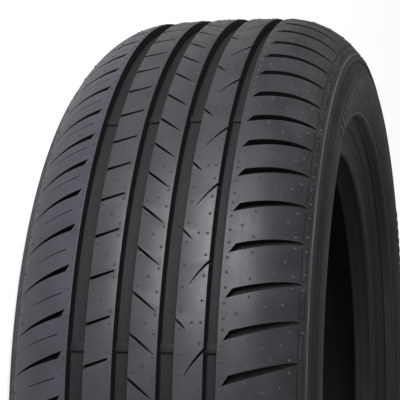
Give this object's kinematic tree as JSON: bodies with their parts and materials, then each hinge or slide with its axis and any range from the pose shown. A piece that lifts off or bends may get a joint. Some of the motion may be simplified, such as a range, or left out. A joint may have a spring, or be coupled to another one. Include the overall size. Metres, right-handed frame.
{
  "type": "car tyre",
  "caption": "Passenger car tyre with grooved tread, slanted shoulder grooves, rounded sidewalls and open bead seats, lying on its side.",
  "frame": {"origin": "centre of the tyre, on the axle and midway between the two beads", "axes": "+Z along the axle towards the sidewall that faces up; -Y and -X are where the tread is shown in the picture"},
  "size_m": [0.6319, 0.6318, 0.2146],
  "materials": {
    "tyre": "moulded rubber, satin, a little darker in the groove floors"
  },
  "bodies": {
    "root": {"tyre": "tyre"}
  },
  "joints": []
}
